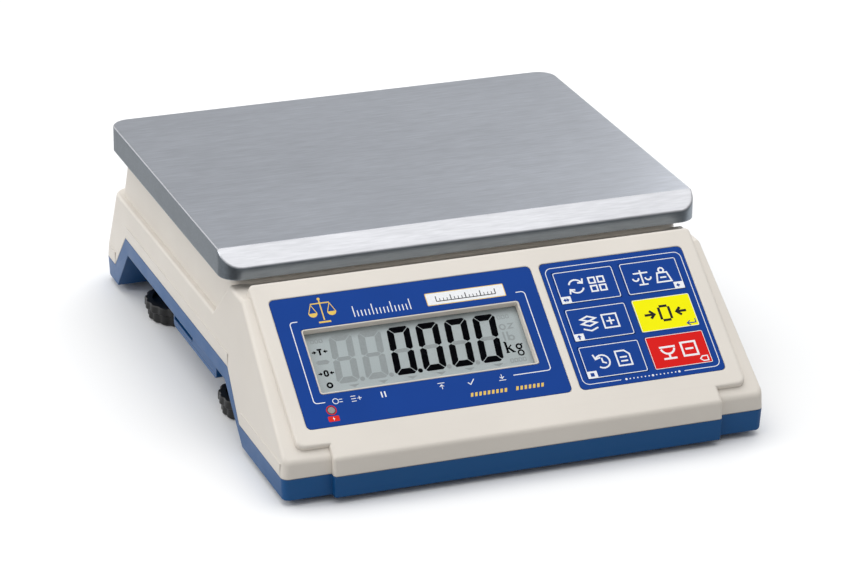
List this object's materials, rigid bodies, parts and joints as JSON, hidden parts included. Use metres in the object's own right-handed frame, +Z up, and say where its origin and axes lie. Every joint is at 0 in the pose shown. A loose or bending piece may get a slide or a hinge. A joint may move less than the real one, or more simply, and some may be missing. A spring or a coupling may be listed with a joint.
{
  "type": "counting scale",
  "caption": "Table-top counting scale: brushed steel weighing pan over a two-part moulded body with a sloped display and keypad console, a hand-hold arch and levelling feet.",
  "frame": {"origin": "on the table under the centre of the body's outline, at the bottom of the feet", "axes": "+Z up; -Y towards the operator, on the console's side; +X to the operator's right"},
  "size_m": [0.3, 0.3726, 0.114],
  "materials": {
    "stainless": "brushed along the width",
    "cast_aluminium": "satin",
    "steel": "zinc plated",
    "cream_plastic": "fine texture",
    "blue_plastic": "fine texture",
    "label_blue": "printed film",
    "key_yellow": "printed film",
    "key_red": "printed film",
    "clear_window": "clear acrylic",
    "lcd_glass": "grey-green display",
    "lamp_lens": "unlit lamp",
    "circuit_board": "solder mask",
    "grey_plastic": "moulded",
    "black_plastic": "moulded",
    "rubber": "matt",
    "battery_case": "moulded",
    "lead_red": "insulation",
    "level_liquid": "green liquid in a clear vial"
  },
  "bodies": {
    "body": {"load_cell": "cast_aluminium", "upper_housing": "cream_plastic", "base_housing": "blue_plastic", "battery": "battery_case", "display_label": "label_blue", "keypad_overlay": "label_blue", "display_window": "clear_window", "lcd_module": "lcd_glass", "charge_lamp": "lamp_lens", "keypad_circuit": "circuit_board", "main_board": "circuit_board", "power_board": "circuit_board", "keypad_connector": "grey_plastic", "buzzer": "black_plastic", "power_switch_body": "black_plastic", "supply_socket": "black_plastic", "cell_base_plate": "steel", "overload_stop_screw": "steel", "load_cell_cable": "grey_plastic", "battery_lead_positive": "lead_red", "battery_lead_negative": "black_plastic", "level_holder": "black_plastic", "level_vial": "level_liquid", "load_cell_screw_1": "steel", "load_cell_screw_2": "steel", "housing_screw_front_left": "steel", "housing_screw_front_right": "steel", "housing_screw_rear_left": "steel", "housing_screw_rear_right": "steel"},
    "platform": {"pan_support": "cast_aluminium", "pan_pad_1": "rubber", "pan_pad_2": "rubber", "pan_pad_3": "rubber", "pan_pad_4": "rubber", "cell_top_spacer": "steel", "load_cell_screw_3": "steel", "load_cell_screw_4": "steel"},
    "pan": {"weighing_pan": "stainless"},
    "key_mode": {"key_mode": "label_blue"},
    "key_unit": {"key_unit": "label_blue"},
    "key_accumulate": {"key_accumulate": "label_blue"},
    "key_zero": {"key_zero": "key_yellow"},
    "key_recall": {"key_recall": "label_blue"},
    "key_tare": {"key_tare": "key_red"},
    "rocker": {"power_rocker": "grey_plastic"},
    "battery_door": {"battery_cover": "blue_plastic"},
    "sole_front_left": {"foot_sole_front_left": "rubber"},
    "knob_front_left": {"foot_knob_front_left": "black_plastic"},
    "sole_rear_left": {"foot_sole_rear_left": "rubber"},
    "knob_rear_left": {"foot_knob_rear_left": "black_plastic"},
    "sole_front_right": {"foot_sole_front_right": "rubber"},
    "knob_front_right": {"foot_knob_front_right": "black_plastic"},
    "sole_rear_right": {"foot_sole_rear_right": "rubber"},
    "knob_rear_right": {"foot_knob_rear_right": "black_plastic"}
  },
  "joints": [
    {"name": "platform_deflection", "type": "slide", "parent": "body", "child": "platform", "axis": [0, 0, 1], "range_m": [-0.00025, 0]},
    {"name": "pan_lift", "type": "slide", "parent": "platform", "child": "pan", "axis": [0, 0, 1], "range_m": [0, 0.05]},
    {"name": "key_mode_press", "type": "slide", "parent": "body", "child": "key_mode", "axis": [0, 0.5864, -0.81], "range_m": [0, 0.00035]},
    {"name": "key_unit_press", "type": "slide", "parent": "body", "child": "key_unit", "axis": [0, 0.5864, -0.81], "range_m": [0, 0.00035]},
    {"name": "key_accumulate_press", "type": "slide", "parent": "body", "child": "key_accumulate", "axis": [0, 0.5864, -0.81], "range_m": [0, 0.00035]},
    {"name": "key_zero_press", "type": "slide", "parent": "body", "child": "key_zero", "axis": [0, 0.5864, -0.81], "range_m": [0, 0.00035]},
    {"name": "key_recall_press", "type": "slide", "parent": "body", "child": "key_recall", "axis": [0, 0.5864, -0.81], "range_m": [0, 0.00035]},
    {"name": "key_tare_press", "type": "slide", "parent": "body", "child": "key_tare", "axis": [0, 0.5864, -0.81], "range_m": [0, 0.00035]},
    {"name": "power_rocker_tilt", "type": "hinge", "parent": "body", "child": "rocker", "pos_m": [0.1432, -0.02, 0.0275], "axis": [0, 0, 1], "range_deg": [0, 14]},
    {"name": "battery_cover_slide", "type": "slide", "parent": "body", "child": "battery_door", "axis": [-1, 0, 0], "range_m": [0, 0.09]},
    {"name": "foot_height_front_left", "type": "slide", "parent": "body", "child": "sole_front_left", "axis": [0, 0, 1], "range_m": [-0.004, 0.003]},
    {"name": "foot_turn_front_left", "type": "hinge", "parent": "sole_front_left", "child": "knob_front_left", "pos_m": [-0.121, -0.0477, 0], "axis": [0, 0, 1], "range_deg": [-1150, 862]},
    {"name": "foot_height_rear_left", "type": "slide", "parent": "body", "child": "sole_rear_left", "axis": [0, 0, 1], "range_m": [-0.004, 0.003]},
    {"name": "foot_turn_rear_left", "type": "hinge", "parent": "sole_rear_left", "child": "knob_rear_left", "pos_m": [-0.121, 0.1064, 0], "axis": [0, 0, 1], "range_deg": [-1150, 862]},
    {"name": "foot_height_front_right", "type": "slide", "parent": "body", "child": "sole_front_right", "axis": [0, 0, 1], "range_m": [-0.004, 0.003]},
    {"name": "foot_turn_front_right", "type": "hinge", "parent": "sole_front_right", "child": "knob_front_right", "pos_m": [0.121, -0.0477, 0], "axis": [0, 0, 1], "range_deg": [-1150, 862]},
    {"name": "foot_height_rear_right", "type": "slide", "parent": "body", "child": "sole_rear_right", "axis": [0, 0, 1], "range_m": [-0.004, 0.003]},
    {"name": "foot_turn_rear_right", "type": "hinge", "parent": "sole_rear_right", "child": "knob_rear_right", "pos_m": [0.121, 0.1064, 0], "axis": [0, 0, 1], "range_deg": [-1150, 862]}
  ],
  "couplings": [
    {"joint": "foot_height_front_left", "follows": "foot_turn_front_left", "m_per_rad": 0.00019894},
    {"joint": "foot_height_rear_left", "follows": "foot_turn_rear_left", "m_per_rad": 0.00019894},
    {"joint": "foot_height_front_right", "follows": "foot_turn_front_right", "m_per_rad": 0.00019894},
    {"joint": "foot_height_rear_right", "follows": "foot_turn_rear_right", "m_per_rad": 0.00019894}
  ]
}
